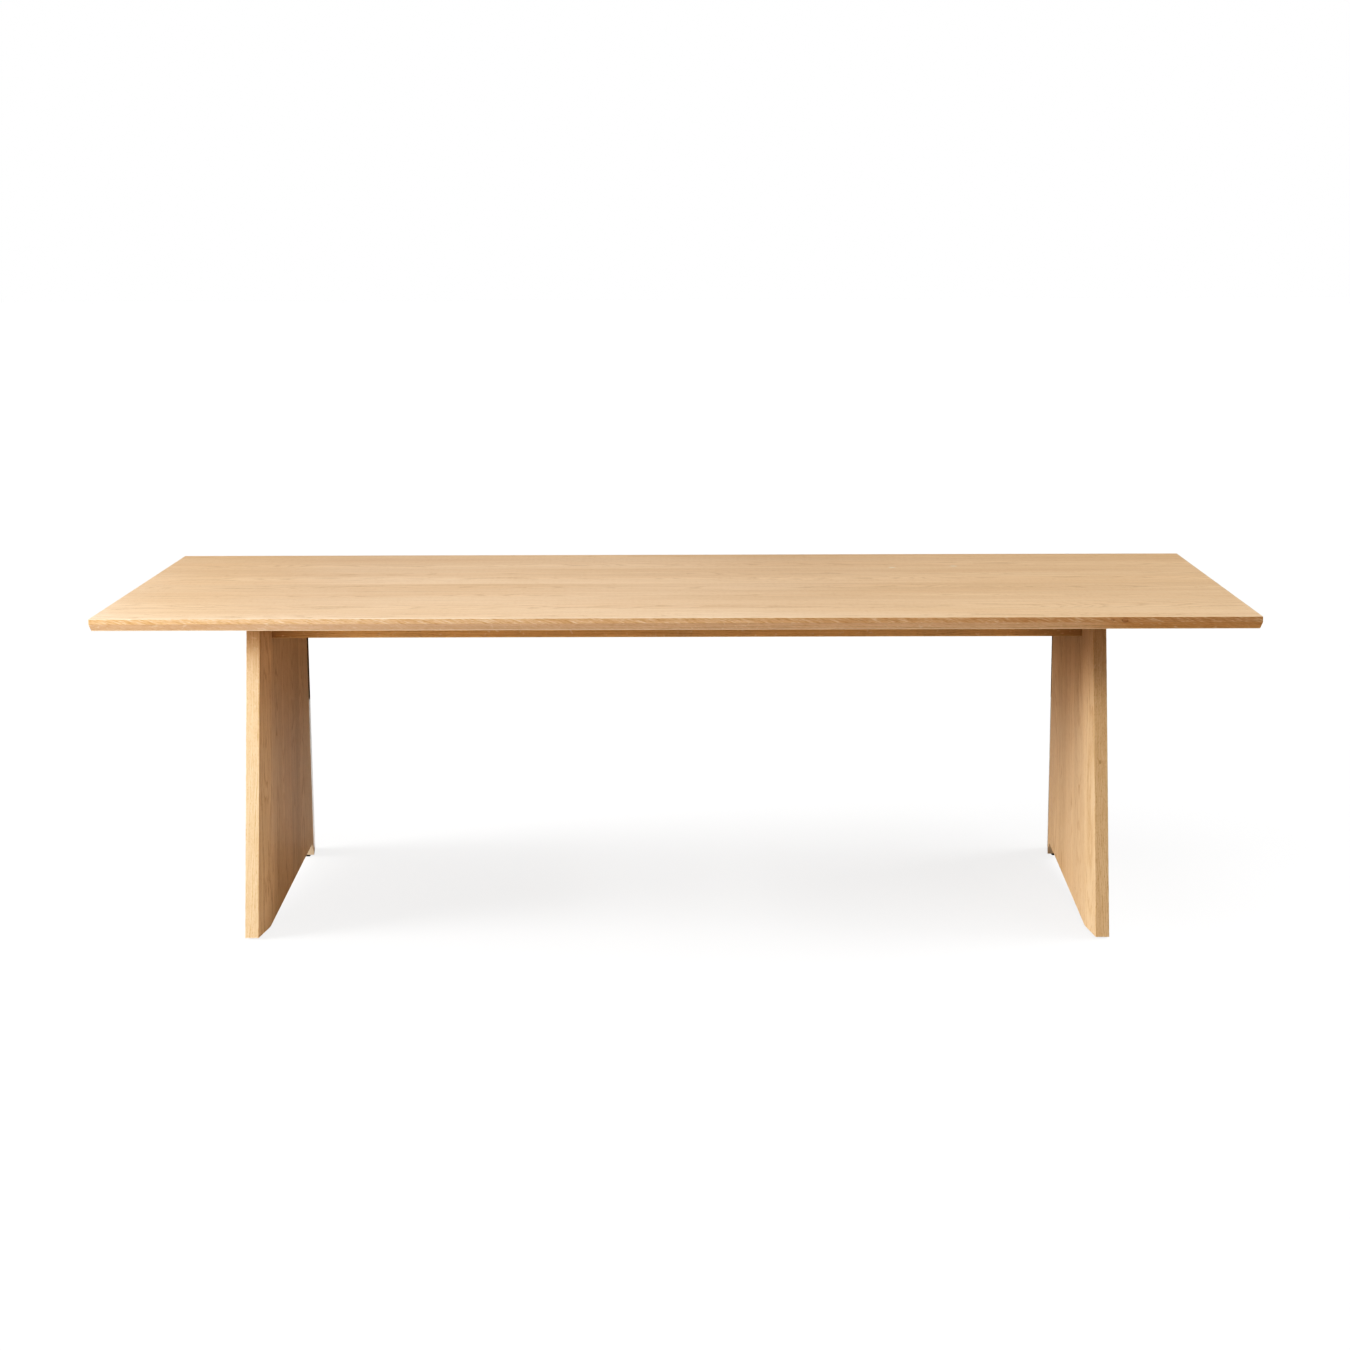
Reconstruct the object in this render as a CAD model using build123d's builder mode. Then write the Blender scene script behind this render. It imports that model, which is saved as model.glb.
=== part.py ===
from build123d import *

import os
from math import cos, pi

# Long table of edge-glued oak boards on two slab legs.
# X runs along the table, -Y is the front and +Z is up. The origin is on the floor, under
# the middle of the table top. All sizes are in millimetres.

# Table top
table_length = 2600.0
table_depth = 1000.0
table_height = 755.0
top_thickness = 28.0
edge_band = 12.5  # upright upper part of the top's edge
edge_setback = 5.5  # how far the undercut below that band leans in
top_board_count = 8
arris_radius = 1.5  # eased outer edges of the top and the legs

# Legs: upright slabs, deeper at the floor than under the top
leg_outer_x = 983.0
leg_edge_thickness = 31.0
leg_bevel_depth = 11.0  # how much thicker the slab is between its two long bevels
leg_bevel_width = 88.0
leg_floor_depth = 800.0
leg_top_depth = 644.0
leg_joint_pitch = 125.0  # spacing of the glue joints between a leg's boards
leg_board_count = 6

# Relief under each leg: a long shallow rise from the front foot, then a short steep drop
relief_start_y = -300.0
relief_peak_y = 285.0
relief_peak = 38.0
relief_end_y = 323.0

# Loose tongues glued into grooves between boards
spline_thickness = 6.0
spline_width = 20.0
top_spline_length = 2400.0
top_spline_drop = 9.0  # centre of the tongue below the table's surface
leg_spline_low = 60.0
leg_spline_high = 640.0
leg_spline_inset = 16.0  # centre of the tongue from the leg's outer face

# Under-frame: two long rails, a cleat on each leg and two cross rails
rail_height = 62.0
rail_thickness = 24.0
rail_face_y = 234.0
cleat_thickness = 45.0
cross_rail_x = 310.0
frame_ease = 2.0  # chamfer along the lower edges of the rails and cleats

# Steel channels let into the underside
channel_x = 620.0
channel_width = 40.0
channel_height = 12.0
channel_wall = 3.0
channel_length = 860.0
channel_slot_length = 12.0
channel_slot_width = 5.4
channel_end_screw_y = 405.0
steel_screw_radius = 2.25
steel_screw_length = 18.0
steel_screw_head_radius = 4.2
steel_screw_head = 2.4

# Bolts that hold each leg to its cleat
bolt_radius = 4.0
bolt_length = 60.0
bolt_head_across_flats = 13.0
bolt_head = 5.3
washer_radius = 12.0
washer_thickness = 2.0
insert_radius = 6.0
insert_length = 18.0
insert_hole_depth = 20.0

# Screws that hold the under-frame to the top, in slots that let the top move
top_screw_radius = 3.0
top_screw_bite = 16.0
top_screw_head_radius = 5.5
top_screw_head = 3.5
frame_slot_width = 7.0
frame_slot_length = 14.0
frame_recess_width = 13.0
frame_recess_length = 20.0
frame_recess_depth = 15.0
cross_screw_y = (35.0, 150.0)
rail_screw_x = (150.0, 465.0, 780.0)

# Dowels between the rails and the pieces that cross between them
dowel_radius = 5.0
dowel_length = 40.0
dowel_in_rail = 14.0
dowel_spacing = 30.0

# Black glide pads under the feet
glide_thickness = 4.0
glide_length = 64.0
glide_width = 28.0
glide_corner = 4.0
glide_end_inset = 13.0
glide_side_inset = 15.5
glide_screw_spacing = 36.0
glide_screw_radius = 1.75
glide_screw_head_radius = 3.0
glide_screw_length = 20.0
glide_screw_recess = 0.5

hole_clearance = 0.1
overcut = 1.0

# Heights and places that follow from the sizes above
underside_z = table_height - top_thickness
band_z = table_height - edge_band
half_depth = table_depth / 2
board_width = table_depth / top_board_count
leg_inner_x = leg_outer_x - leg_edge_thickness - leg_bevel_depth
leg_middle_thickness = leg_edge_thickness + leg_bevel_depth
half_leg_floor = leg_floor_depth / 2
half_leg_top = leg_top_depth / 2
rail_inner_y = rail_face_y - rail_thickness
rail_bottom_z = underside_z - rail_height
rail_middle_z = underside_z - rail_height / 2
rail_middle_y = rail_face_y - rail_thickness / 2
cleat_x = leg_inner_x - cleat_thickness / 2
spline_z = table_height - top_spline_drop
seat_z = rail_bottom_z + frame_recess_depth
top_joints = [board_width * i - half_depth for i in range(1, top_board_count)]
leg_joints = [leg_joint_pitch * (i - leg_board_count / 2) for i in range(1, leg_board_count)]
leg_insert_y = [(a + b) / 2 for a, b in zip(leg_joints, leg_joints[1:])]
channel_places = {"left": -channel_x, "centre": 0.0, "right": channel_x}
channel_screw_y = [-channel_end_screw_y]
channel_screw_y += [board_width * (i + 0.5) - half_depth for i in range(1, top_board_count - 1)]
channel_screw_y += [channel_end_screw_y]
foot_y = half_leg_floor - glide_end_inset - glide_length / 2
glide_x = leg_outer_x - glide_side_inset
sides = {"left": -1, "right": 1}
ends = {"front": -1, "rear": 1}


def save(piece, name):
    piece.part.label = name
    export_step(piece.part, f"parts/{name}.step")


def across(y):
    """The upright plane at y, facing the rear of the table."""
    return Plane(origin=(0, y, 0), z_dir=(0, 1, 0))


def both_ways(values):
    return [sign * value for value in values for sign in (-1, 1)]


# Places where a screw goes up into the top, shared by the frame and the boards
cross_member_screws = [
    (x, y) for x in both_ways([cleat_x, cross_rail_x]) for y in both_ways(cross_screw_y)
]
rail_screws = [(x, y) for x in both_ways(rail_screw_x) for y in both_ways([rail_middle_y])]
top_screw_places = cross_member_screws + rail_screws
channel_screw_places = [(x, y) for x in channel_places.values() for y in channel_screw_y]
glide_screw_places = [
    (side * glide_x, end * foot_y + step * glide_screw_spacing / 2)
    for side in sides.values()
    for end in ends.values()
    for step in (-1, 1)
]


def channel_profile():
    """The channel's U section: a web flush with the underside and two flanges above it."""
    with Locations((0, channel_wall / 2)):
        Rectangle(channel_width, channel_wall)
    flange_x = (channel_width - channel_wall) / 2
    with Locations((-flange_x, channel_height / 2), (flange_x, channel_height / 2)):
        Rectangle(channel_wall, channel_height)


def channel_plane(x):
    """Upright plane across the table at the channel's front end."""
    return Plane(origin=(x, -channel_length / 2, underside_z), x_dir=(1, 0, 0), z_dir=(0, -1, 0))


def make_top_block():
    """The whole top in one piece, with every groove and pilot hole, ready to be sawn up."""
    with BuildPart() as block:
        with BuildSketch(Plane.XY.offset(underside_z)):
            Rectangle(table_length - 2 * edge_setback, table_depth - 2 * edge_setback)
        with BuildSketch(Plane.XY.offset(band_z)):
            Rectangle(table_length, table_depth)
        loft(ruled=True)
        extrude(block.faces().sort_by(Axis.Z)[-1], amount=edge_band)
        fillet(block.edges().filter_by(Axis.Z), arris_radius)
        fillet(block.faces().sort_by(Axis.Z)[-1].edges(), arris_radius)
        with Locations(*[(0, y, spline_z) for y in top_joints]):
            Box(top_spline_length, spline_width, spline_thickness, mode=Mode.SUBTRACT)
        for x in channel_places.values():
            with BuildSketch(channel_plane(x)):
                channel_profile()
            extrude(amount=-channel_length, mode=Mode.SUBTRACT)
        with Locations(*[(x, y, underside_z) for x, y in top_screw_places]):
            Cylinder(
                top_screw_radius + hole_clearance,
                top_screw_bite + overcut,
                align=(Align.CENTER, Align.CENTER, Align.MIN),
                mode=Mode.SUBTRACT,
            )
        with Locations(*[(x, y, underside_z) for x, y in channel_screw_places]):
            Cylinder(
                steel_screw_radius + hole_clearance,
                steel_screw_length + channel_wall,
                align=(Align.CENTER, Align.CENTER, Align.MIN),
                mode=Mode.SUBTRACT,
            )
    return block


def bevel_plane(side, end):
    """The long bevel down one edge of a leg's inner face, facing the slab's outer side."""
    lean = half_leg_floor - half_leg_top
    up_edge = Vector(0, -end * lean, underside_z - glide_thickness)
    to_fold = Vector(-side * leg_bevel_depth, -end * leg_bevel_width, 0)
    foot = (side * (leg_outer_x - leg_edge_thickness), end * half_leg_floor, glide_thickness)
    return Plane(origin=foot, z_dir=up_edge.cross(to_fold) * (side * end))


def make_leg_block(side):
    """One whole leg, before it is divided into its glued boards."""
    floor_z = glide_thickness
    with BuildPart() as block:
        with BuildSketch(Plane.YZ.offset(side * leg_inner_x)):
            with BuildLine():
                Polyline(
                    (-half_leg_floor, floor_z),
                    (relief_start_y, floor_z),
                    (relief_peak_y, floor_z + relief_peak),
                    (relief_end_y, floor_z),
                    (half_leg_floor, floor_z),
                    (half_leg_top, underside_z),
                    (-half_leg_top, underside_z),
                    close=True,
                )
            make_face()
        extrude(amount=side * leg_middle_thickness)
        for end in ends.values():
            split(bisect_by=bevel_plane(side, end), keep=Keep.TOP)
        edge_faces = block.faces().sort_by(Axis.Y)
        long_edges = (edge_faces[0].edges() + edge_faces[-1].edges()).filter_by(
            lambda edge: edge.length > underside_z / 2
        )
        fillet(long_edges, arris_radius)
        spline_x = side * (leg_outer_x - leg_spline_inset)
        spline_middle_z = (leg_spline_low + leg_spline_high) / 2
        with Locations(*[(spline_x, y, spline_middle_z) for y in leg_joints]):
            Box(
                spline_thickness,
                spline_width,
                leg_spline_high - leg_spline_low,
                mode=Mode.SUBTRACT,
            )
        turn = (0, side * 90, 0)
        with Locations(*[Location((side * leg_inner_x, y, rail_middle_z), turn) for y in leg_insert_y]):
            Cylinder(
                insert_radius + hole_clearance,
                insert_hole_depth,
                align=(Align.CENTER, Align.CENTER, Align.MIN),
                mode=Mode.SUBTRACT,
            )
        own_screws = [place for place in glide_screw_places if place[0] * side > 0]
        with Locations(*[(x, y, floor_z) for x, y in own_screws]):
            Cylinder(
                glide_screw_radius + hole_clearance,
                glide_screw_length - floor_z + overcut,
                align=(Align.CENTER, Align.CENTER, Align.MIN),
                mode=Mode.SUBTRACT,
            )
    return block


def saw_boards(block, joints, name):
    """Divide a glued-up block into its boards, numbered from the front."""
    for number in range(1, len(joints) + 2):
        with BuildPart() as board:
            add(block.part)
            if number > 1:
                split(bisect_by=across(joints[number - 2]), keep=Keep.TOP)
            if number <= len(joints):
                split(bisect_by=across(joints[number - 1]), keep=Keep.BOTTOM)
        save(board, f"{name}_{number}")


def make_splines():
    with BuildPart() as top_splines:
        with Locations(*[(0, y, spline_z) for y in top_joints]):
            Box(top_spline_length, spline_width, spline_thickness)
    save(top_splines, "top_splines")
    for side_name, side in sides.items():
        spline_x = side * (leg_outer_x - leg_spline_inset)
        with BuildPart() as leg_splines:
            with Locations(*[(spline_x, y, (leg_spline_low + leg_spline_high) / 2) for y in leg_joints]):
                Box(spline_thickness, spline_width, leg_spline_high - leg_spline_low)
        save(leg_splines, f"{side_name}_leg_splines")


def make_channels():
    for place_name, x in channel_places.items():
        with BuildPart() as channel:
            with BuildSketch(channel_plane(x)):
                channel_profile()
            extrude(amount=-channel_length)
            with BuildSketch(Plane.XY.offset(underside_z)):
                with Locations(*[Location((x, y, 0), (0, 0, 90)) for y in channel_screw_y]):
                    SlotOverall(channel_slot_length, channel_slot_width)
            extrude(amount=channel_wall, mode=Mode.SUBTRACT)
        save(channel, f"{place_name}_channel")


def cut_frame_slots(places):
    """Slotted screw holes up through a rail or cleat, each in a deeper recess from below."""
    slot_locations = [Location((x, y, 0), (0, 0, 90)) for x, y in places]
    with BuildSketch(Plane.XY.offset(rail_bottom_z)) as slots:
        with Locations(*slot_locations):
            SlotOverall(frame_slot_length, frame_slot_width)
    extrude(slots.sketch, amount=rail_height, mode=Mode.SUBTRACT)
    with BuildSketch(Plane.XY.offset(rail_bottom_z)) as recesses:
        with Locations(*slot_locations):
            SlotOverall(frame_recess_length, frame_recess_width)
    extrude(recesses.sketch, amount=frame_recess_depth, mode=Mode.SUBTRACT)


def ease_lower_edges(beam, axis):
    """Chamfer the two lower edges that run along a beam."""
    chamfer(beam.edges().filter_by(axis).group_by(Axis.Z)[0], frame_ease)


def dowel_locations(x_places):
    """Dowel centres and directions, two at each end of a cross member."""
    centre_y = rail_inner_y + dowel_in_rail - dowel_length / 2
    return [
        Location((x, end * centre_y, rail_middle_z + step * dowel_spacing / 2), (90, 0, 0))
        for x in x_places
        for end in ends.values()
        for step in (-1, 1)
    ]


def cut_dowel_holes(x_places):
    with Locations(*dowel_locations(x_places)):
        Cylinder(dowel_radius + hole_clearance, dowel_length, mode=Mode.SUBTRACT)


def make_long_rails():
    for end_name, end in ends.items():
        own_screws = [place for place in rail_screws if place[1] * end > 0]
        with BuildPart() as rail:
            with BuildSketch(Plane.XY.offset(rail_bottom_z)):
                with Locations((0, end * rail_middle_y)):
                    Rectangle(2 * leg_inner_x, rail_thickness)
            extrude(amount=rail_height)
            ease_lower_edges(rail, Axis.X)
            cut_frame_slots(own_screws)
            cut_dowel_holes(both_ways([cleat_x, cross_rail_x]))
        save(rail, f"{end_name}_rail")


def make_cross_members():
    for side_name, side in sides.items():
        with BuildPart() as cleat:
            with BuildSketch(Plane.XY.offset(rail_bottom_z)):
                with Locations((side * cleat_x, 0)):
                    Rectangle(cleat_thickness, 2 * rail_inner_y)
            extrude(amount=rail_height)
            ease_lower_edges(cleat, Axis.Y)
            cut_frame_slots([(side * cleat_x, y) for y in both_ways(cross_screw_y)])
            cut_dowel_holes([side * cleat_x])
            turn = (0, 90, 0)
            with Locations(*[Location((side * cleat_x, y, rail_middle_z), turn) for y in leg_insert_y]):
                Cylinder(bolt_radius + hole_clearance, cleat_thickness, mode=Mode.SUBTRACT)
        save(cleat, f"{side_name}_cleat")
        with BuildPart() as cross_rail:
            with BuildSketch(Plane.XY.offset(rail_bottom_z)):
                with Locations((side * cross_rail_x, 0)):
                    Rectangle(rail_thickness, 2 * rail_inner_y)
            extrude(amount=rail_height)
            ease_lower_edges(cross_rail, Axis.Y)
            cut_frame_slots([(side * cross_rail_x, y) for y in both_ways(cross_screw_y)])
            cut_dowel_holes([side * cross_rail_x])
        save(cross_rail, f"{side_name}_cross_rail")


def make_dowels():
    with BuildPart() as frame_dowels:
        with Locations(*dowel_locations(both_ways([cleat_x, cross_rail_x]))):
            Cylinder(dowel_radius, dowel_length)
    save(frame_dowels, "frame_dowels")


def bolt_locations(x_from_leg):
    """Places on every bolt's axis, at a distance from the leg's inner face, facing the leg."""
    return [
        Location((side * (leg_inner_x - x_from_leg), y, rail_middle_z), (0, side * 90, 0))
        for side in sides.values()
        for y in leg_insert_y
    ]


def make_leg_bolts():
    low = (Align.CENTER, Align.CENTER, Align.MIN)
    high = (Align.CENTER, Align.CENTER, Align.MAX)
    with BuildPart() as bolt:
        with BuildSketch():
            RegularPolygon(bolt_head_across_flats / 2 / cos(pi / 6), 6)
        extrude(amount=-bolt_head)
        Cylinder(bolt_radius, bolt_length, align=low)
    with BuildPart() as leg_bolts:
        with Locations(*bolt_locations(cleat_thickness + washer_thickness)):
            add(bolt.part)
    save(leg_bolts, "leg_bolts")
    with BuildPart() as leg_bolt_washers:
        with Locations(*bolt_locations(cleat_thickness)):
            Cylinder(washer_radius, washer_thickness, align=high)
            Cylinder(bolt_radius + hole_clearance, washer_thickness, align=high, mode=Mode.SUBTRACT)
    save(leg_bolt_washers, "leg_bolt_washers")
    with BuildPart() as leg_inserts:
        with Locations(*bolt_locations(0)):
            Cylinder(insert_radius, insert_length, align=low)
            Cylinder(bolt_radius + hole_clearance, insert_length, align=low, mode=Mode.SUBTRACT)
    save(leg_inserts, "leg_inserts")


def make_pan_head_screws(name, places, seat, length, radius, head_radius, head):
    """Upward screws whose heads bear on a seat at one height."""
    with BuildPart() as screws:
        with Locations(*[(x, y, seat) for x, y in places]):
            Cylinder(head_radius, head, align=(Align.CENTER, Align.CENTER, Align.MAX))
            Cylinder(radius, length, align=(Align.CENTER, Align.CENTER, Align.MIN))
    save(screws, name)


def make_glides():
    for side_name, side in sides.items():
        for end_name, end in ends.items():
            centre = (side * glide_x, end * foot_y)
            own_screws = [
                (x, y) for x, y in glide_screw_places if x * side > 0 and y * end > 0
            ]
            with BuildPart() as glide:
                with BuildSketch():
                    with Locations(centre):
                        RectangleRounded(glide_width, glide_length, glide_corner)
                extrude(amount=glide_thickness)
                with Locations(*[Location((x, y, 0), (180, 0, 0)) for x, y in own_screws]):
                    CounterSinkHole(
                        glide_screw_radius + hole_clearance,
                        glide_screw_head_radius + glide_screw_recess + hole_clearance,
                    )
            save(glide, f"{side_name}_{end_name}_glide")


def make_glide_screws():
    shoulder_z = glide_screw_recess + glide_screw_head_radius - glide_screw_radius
    with BuildPart() as screw:
        with BuildSketch(Plane.XZ):
            with BuildLine():
                Polyline(
                    (0, glide_screw_recess),
                    (glide_screw_head_radius, glide_screw_recess),
                    (glide_screw_radius, shoulder_z),
                    (glide_screw_radius, glide_screw_length),
                    (0, glide_screw_length),
                    close=True,
                )
            make_face()
        revolve(axis=Axis.Z)
    with BuildPart() as glide_screws:
        with Locations(*[(x, y, 0) for x, y in glide_screw_places]):
            add(screw.part)
    save(glide_screws, "glide_screws")


os.makedirs("parts", exist_ok=True)
saw_boards(make_top_block(), top_joints, "top_board")
for leg_side_name, leg_side in sides.items():
    saw_boards(make_leg_block(leg_side), leg_joints, f"{leg_side_name}_leg_board")
make_splines()
make_channels()
make_pan_head_screws(
    "channel_screws",
    channel_screw_places,
    underside_z,
    steel_screw_length,
    steel_screw_radius,
    steel_screw_head_radius,
    steel_screw_head,
)
make_long_rails()
make_cross_members()
make_dowels()
make_leg_bolts()
make_pan_head_screws(
    "top_screws",
    top_screw_places,
    seat_z,
    underside_z - seat_z + top_screw_bite,
    top_screw_radius,
    top_screw_head_radius,
    top_screw_head,
)
make_glides()
make_glide_screws()
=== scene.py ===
import math
import random

import bmesh
import bpy
from mathutils import Matrix, Vector


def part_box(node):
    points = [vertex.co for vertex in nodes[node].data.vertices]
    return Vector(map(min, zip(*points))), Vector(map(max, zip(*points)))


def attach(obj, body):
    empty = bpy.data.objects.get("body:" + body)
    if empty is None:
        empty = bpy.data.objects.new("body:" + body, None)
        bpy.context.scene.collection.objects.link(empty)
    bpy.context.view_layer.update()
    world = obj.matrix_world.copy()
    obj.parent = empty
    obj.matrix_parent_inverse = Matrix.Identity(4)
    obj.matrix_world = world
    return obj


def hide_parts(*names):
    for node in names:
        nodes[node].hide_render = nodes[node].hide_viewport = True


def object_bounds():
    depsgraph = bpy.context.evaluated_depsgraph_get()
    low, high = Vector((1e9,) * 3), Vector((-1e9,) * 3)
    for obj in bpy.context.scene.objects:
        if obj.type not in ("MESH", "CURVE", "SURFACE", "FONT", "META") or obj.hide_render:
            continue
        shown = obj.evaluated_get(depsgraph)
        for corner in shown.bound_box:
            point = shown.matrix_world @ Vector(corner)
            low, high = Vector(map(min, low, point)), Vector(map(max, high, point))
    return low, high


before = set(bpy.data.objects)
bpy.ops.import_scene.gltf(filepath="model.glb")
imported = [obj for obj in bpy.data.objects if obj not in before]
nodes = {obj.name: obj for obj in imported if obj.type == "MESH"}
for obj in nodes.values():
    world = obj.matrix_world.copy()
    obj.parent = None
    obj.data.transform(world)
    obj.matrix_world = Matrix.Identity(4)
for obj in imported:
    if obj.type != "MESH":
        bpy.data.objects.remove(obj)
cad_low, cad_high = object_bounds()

# A long oak table on two slab legs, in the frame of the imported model: metres, X along the
# table, -Y to its front, +Z up, with the origin on the floor under the middle of the top.

# The camera stands in front of the table, a little right of its middle, above the top
camera_place = Vector((0.0822, -5.850, 1.648))
camera_turn = 0.0082  # radians to the left of straight ahead
camera_tilt = 0.0700  # radians below the horizontal
camera_roll = -0.0038
lens_mm = 65.1
sensor_mm = 36.0
lens_shift = (-0.0118, -0.2155)

# The studio: softboxes as (degrees to the right of the front, distance, height, watts), set on
# an ellipse that is longer along the table
softboxes = (
    (-50, 2.6, 1.6, 33.5),
    (135, 2.4, 2.6, 22.5),
    (30, 2.4, 2.6, 22.1),
    (-135, 2.6, 1.6, 16.0),
    (90, 2.4, 2.6, 15.7),
    (-25, 2.6, 1.6, 9.5),
    (180, 2.4, 2.6, 4.5),
    (-40, 2.6, 2.1, 4.1),
    (0, 2.4, 2.6, 3.1),
)
# The strongest softbox, at the far left, once for each part of the table: what it lights, what
# casts no shadow there, and its watts. An empty name lights all but the legs. The left leg
# gets a softer one too, from nearer the front
side_box = (-70, 3.6, 1.6)
side_watts = (("", "", 145.7), ("right_leg", "left_leg", 145.7), ("left_leg", "", 30.0))
left_leg_box = (-25, 2.6, 1.6, 17.0)
# Three more look straight down, as (x, y, watts)
overheads = ((0.0, -1.2, 18.4), (0.0, 0.8, 5.4), (-1.8, 0.8, 1.3))
overhead_height = 2.9
softbox_size = 1.0
warm_sides = (30, 90, 135)  # softboxes with a warmer cover
warm_lamp = (1.04, 1.0, 0.90)
plain_lamp = (0.99, 1.0, 1.05)
table_reach = 0.9  # added to the distance of a softbox at either end of the table
aim_share = 0.25  # each softbox aims at a point this share of the way out along X
aim_height = 0.55

# The floor that lights the table from below, and the white sweep that the camera sees. The
# sweep has its own wide lamps, as (whose nodes cast their shadow, degrees to the right, degrees
# up, degrees wide, share of the white). With an empty name all nodes do
floor_colour = (0.80, 0.80, 0.80, 1.0)
floor_roughness = 0.9
floor_reach_x = (-3.6, 3.6)
floor_reach_y = (-2.6, 2.4)
sweep_half = 40.0
floor_drop = 0.0005  # the lighting floor lies this far below the sweep
sweep_glow = 0.714
sweep_colour = (0.12, 0.12, 0.12, 1.0)
sweep_suns = (
    ("left_", -75, 8, 30, 0.054),
    ("left_", -75, 38, 30, 0.056),
    ("left_", -100, 38, 30, 0.023),
    ("right_", 100, 38, 30, 0.067),
    ("right_", 120, 38, 30, 0.017),
    ("right_", 75, 38, 30, 0.018),
    ("right_", 45, 38, 30, 0.020),
    ("", -60, 80, 40, 0.038),
    ("", 0, 68, 30, 0.014),
)
sun_distance = 10.0

# The print's S-shaped contrast
tone_gamma = 1.6
tone_knee = 1.0
tone_points = (0.01, 0.03, 0.06, 0.12, 0.2, 0.3, 0.42, 0.56, 0.72, 0.88)

# Boards: the axis of the grain, the axis across the face, and the axis through the board
ALONG_TABLE = (0, 1, 2)
UP_LEG = (2, 1, 0)
ALONG_DEPTH = (1, 0, 2)

# Oak, as linear colours
top_pale = (0.92, 0.672, 0.465, 1.0)
top_warm = (0.84, 0.588, 0.385, 1.0)
leg_pale = (0.80, 0.563, 0.347, 1.0)
leg_warm = (0.70, 0.480, 0.275, 1.0)
frame_pale = (0.81, 0.530, 0.265, 1.0)
frame_warm = (0.70, 0.435, 0.200, 1.0)
edge_painted_shade = (0.75, 0.66, 0.555, 1.0)  # painted shade: the top's edges are darker than its face, by which way they face
# Painted light and shade on the undercut: darker at the left, lighter at the right, darker at its
# far right end; painted shade on the right end of the band; and the top's left end a little warmer
undercut_left_painted_shade = (0.88, 0.91, 1.00, 1.0)
undercut_right_painted_light = (1.10, 1.12, 1.17, 1.0)
undercut_end_painted_shade = (0.86, 0.74, 0.54, 1.0)
left_end_tint = (1.0, 0.965, 0.90, 1.0)
right_end_painted_shade = (0.86, 0.79, 0.72, 1.0)
painted_shade_tint = (0.64, 0.61, 0.57, 1.0)  # painted shade on the wood in the corners under the top
leg_painted_shades = {  # painted shade under the top: along which axis it deepens, and between which distances
    "left": (2, 0.62, 0.745),
    "right": (2, 0.46, 0.760),
}
# Painted shade at the ends of the rails, by the legs
rail_painted_shade = (0, 0.74, 0.95)
pore_brown = (0.38, 0.188, 0.045, 1.0)
fleck_cream = (0.84, 0.66, 0.46, 1.0)
knot_brown = (0.20, 0.088, 0.030, 1.0)
knot_halo = (0.84, 0.75, 0.62, 1.0)
arris_cream = (0.93, 0.76, 0.56, 1.0)
fleck_white = (1.0, 0.95, 0.84, 1.0)
sawn_end_painted_light = (1.0, 0.83, 0.62, 1.0)  # painted light: the sawn end of the relief under a leg, made paler
top_grain = (0.96, 1.00, 1.16)  # how strongly the grain deepens red, green and blue
leg_grain = (0.78, 1.06, 1.55)

figure_shift = (5.0, 50.0)  # so that no two boards show the same part of the noises

# The rings, in metres. The pith that they go round lies outside the board and wanders
ring_spacing = 0.0031
pith_depth = (0.05, 0.16)
pith_aside = 0.05
pith_tilt = 0.02  # metres sideways for each metre along
pith_wander = 0.09
pith_rise = 0.05
ring_ripple = 1.1  # in rings
ring_drift = 5.0  # in rings
ring_drift_scale = 60.0  # changes in a metre
early_wood = (0.02, 0.55)  # where in a ring its early wood gives way to late wood

# The noises of a figure, as (changes in a metre along the grain, changes in a metre across it,
# a step that keeps one noise apart from the others)
wander_noise = (1.1, 3.0, 0.0)
rise_noise = (1.6, 5.0, 9.0)
ripple_noise = (9.0, 90.0, 3.0)
cloud_noise = (1.3, 16.0, 31.0)
streak_noise = (3.0, 260.0, 41.0)
pore_noise = (70.0, 1500.0, 17.0)
worn_noise = (40.0, 200.0, 57.0)
bark_noise = (60.0, 160.0, 83.0)
drift_noise = (2.5, 20.0, 71.0)

# The part of each noise in which clouds, pores, rays and dark ticks come up, and pale ones fade
cloud_range = (0.30, 0.70)
pore_range = (0.56, 0.70)
pore_crowding = 0.11  # how much the early wood adds to the noise
ray_range = (0.62, 0.74)
ray_scales = (150.0, 70.0, 85.0)  # round the pith, away from it, and along the grain
dark_tick_range = (0.52, 0.64)
light_tick_range = (0.34, 0.46)
tick_length_scale = 42.0
tick_drift = 5.0
tick_slant = 150.0
tick_fineness = 480.0

# How strongly each of them shows, as a share
early_depth = 0.13  # how much darker early wood is than late wood
ring_lift = 0.05  # how much paler late wood is than the ground colour
streak_depth = 0.34
ray_share = 0.30
pore_share = 0.42
dark_tick_share = 0.50
light_tick_share = 0.40
arris_share = 0.6
end_grain_loss = 0.22
end_grain_facing = (0.75, 0.95)
board_swing = 0.42  # how far a board's share of the warmer colour drifts
leg_swing = 0.24
top_contrast = 0.88
leg_contrast = 1.1
rail_contrast = 1.3
cleat_contrast = 1.2

# Knots and flecks, with distances in units of their size: between which two distances each part
# changes, and from which strength to which
knot_length = 1.5  # of its width
knot_bend = (0.5, 5.0, 0.004, 0.0)  # in metres, how far it bends the rings
knot_halo_fade = (1.0, 2.8, 0.45, 0.0)
knot_core_fade = (0.40, 0.90, 0.10, 0.0)
knot_rim_rise = (0.65, 1.0, 0.0, 1.0)
knot_rim_fade = (1.0, 1.4, 0.70, 0.0)
knot_rim_gaps = (0.35, 0.60, 0.35, 1.0)  # by the noise of the bark
fleck_fade = (0.4, 1.1, 0.8, 0.0)

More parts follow.
